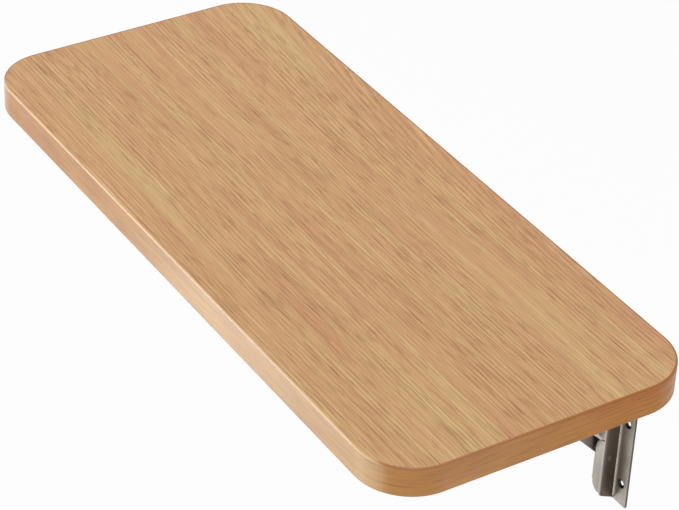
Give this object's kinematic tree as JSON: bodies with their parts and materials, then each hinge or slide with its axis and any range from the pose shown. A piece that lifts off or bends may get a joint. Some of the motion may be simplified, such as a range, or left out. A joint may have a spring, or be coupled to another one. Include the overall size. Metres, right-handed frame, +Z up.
{
  "type": "wall mounted drop leaf table",
  "caption": "Wall mounted drop leaf table: oak-look board with rounded corners that folds down flat on steel knee-strut brackets.",
  "frame": {"origin": "in the wall plane, at the centre of the pattern of outer wall holes", "axes": "X along the wall, +Y into the wall and -Y out into the room, +Z up"},
  "size_m": [0.7, 0.3005, 0.198],
  "materials": {
    "particle_board": "raw particle board",
    "oak_laminate": "satin oak-look melamine",
    "oak_edge_band": "satin oak-look edge band",
    "stainless_sheet": "brushed stainless",
    "stainless_pin": "bright stainless",
    "nylon": "natural nylon"
  },
  "bodies": {
    "wall_brackets": {"right_wall_plate": "stainless_sheet", "right_leg_cheeks": "stainless_sheet", "right_hinge_pin": "stainless_pin", "right_strut_pivot_rivet": "stainless_pin", "right_pivot_sleeve": "nylon", "left_wall_plate": "stainless_sheet", "left_leg_cheeks": "stainless_sheet", "left_hinge_pin": "stainless_pin", "left_strut_pivot_rivet": "stainless_pin", "left_pivot_sleeve": "nylon"},
    "leaf": {"leaf_core": "particle_board", "leaf_top_laminate": "oak_laminate", "leaf_bottom_laminate": "oak_laminate", "leaf_edge_band": "oak_edge_band", "right_arm": "stainless_sheet", "right_arm_screws": "stainless_pin", "right_strut_anchor": "stainless_sheet", "right_anchor_rivets": "stainless_pin", "right_anchor_pin": "stainless_pin", "right_hinge_washers": "nylon", "left_arm": "stainless_sheet", "left_arm_screws": "stainless_pin", "left_strut_anchor": "stainless_sheet", "left_anchor_rivets": "stainless_pin", "left_anchor_pin": "stainless_pin", "left_hinge_washers": "nylon"},
    "right_lower_strut": {"right_lower_link": "stainless_sheet", "right_lower_knee_rivet": "stainless_pin"},
    "right_upper_strut": {"right_upper_link": "stainless_sheet", "right_upper_knee_rivet": "stainless_pin"},
    "left_lower_strut": {"left_lower_link": "stainless_sheet", "left_lower_knee_rivet": "stainless_pin"},
    "left_upper_strut": {"left_upper_link": "stainless_sheet", "left_upper_knee_rivet": "stainless_pin"}
  },
  "joints": [
    {"name": "leaf_fold", "type": "hinge", "parent": "wall_brackets", "child": "leaf", "pos_m": [0, -0.009, 0.0725], "axis": [1, 0, 0], "range_deg": [0, 90]},
    {"name": "right_lower_strut_turn", "type": "hinge", "parent": "wall_brackets", "child": "right_lower_strut", "pos_m": [0.2425, -0.009, -0.0395], "axis": [1, 0, 0], "range_deg": [-43.43, 0]},
    {"name": "right_upper_strut_turn", "type": "hinge", "parent": "leaf", "child": "right_upper_strut", "pos_m": [0.2425, -0.115, 0.0725], "axis": [1, 0, 0], "range_deg": [0, 46.59]},
    {"name": "left_lower_strut_turn", "type": "hinge", "parent": "wall_brackets", "child": "left_lower_strut", "pos_m": [-0.2425, -0.009, -0.0395], "axis": [1, 0, 0], "range_deg": [-43.43, 0]},
    {"name": "left_upper_strut_turn", "type": "hinge", "parent": "leaf", "child": "left_upper_strut", "pos_m": [-0.2425, -0.115, 0.0725], "axis": [1, 0, 0], "range_deg": [0, 46.59]}
  ],
  "couplings": [
    {"joint": "right_lower_strut_turn", "follows": "leaf_fold", "ratio": -0.48248},
    {"joint": "right_upper_strut_turn", "follows": "leaf_fold", "ratio": 0.51752},
    {"joint": "left_lower_strut_turn", "follows": "leaf_fold", "ratio": -0.48248},
    {"joint": "left_upper_strut_turn", "follows": "leaf_fold", "ratio": 0.51752}
  ]
}
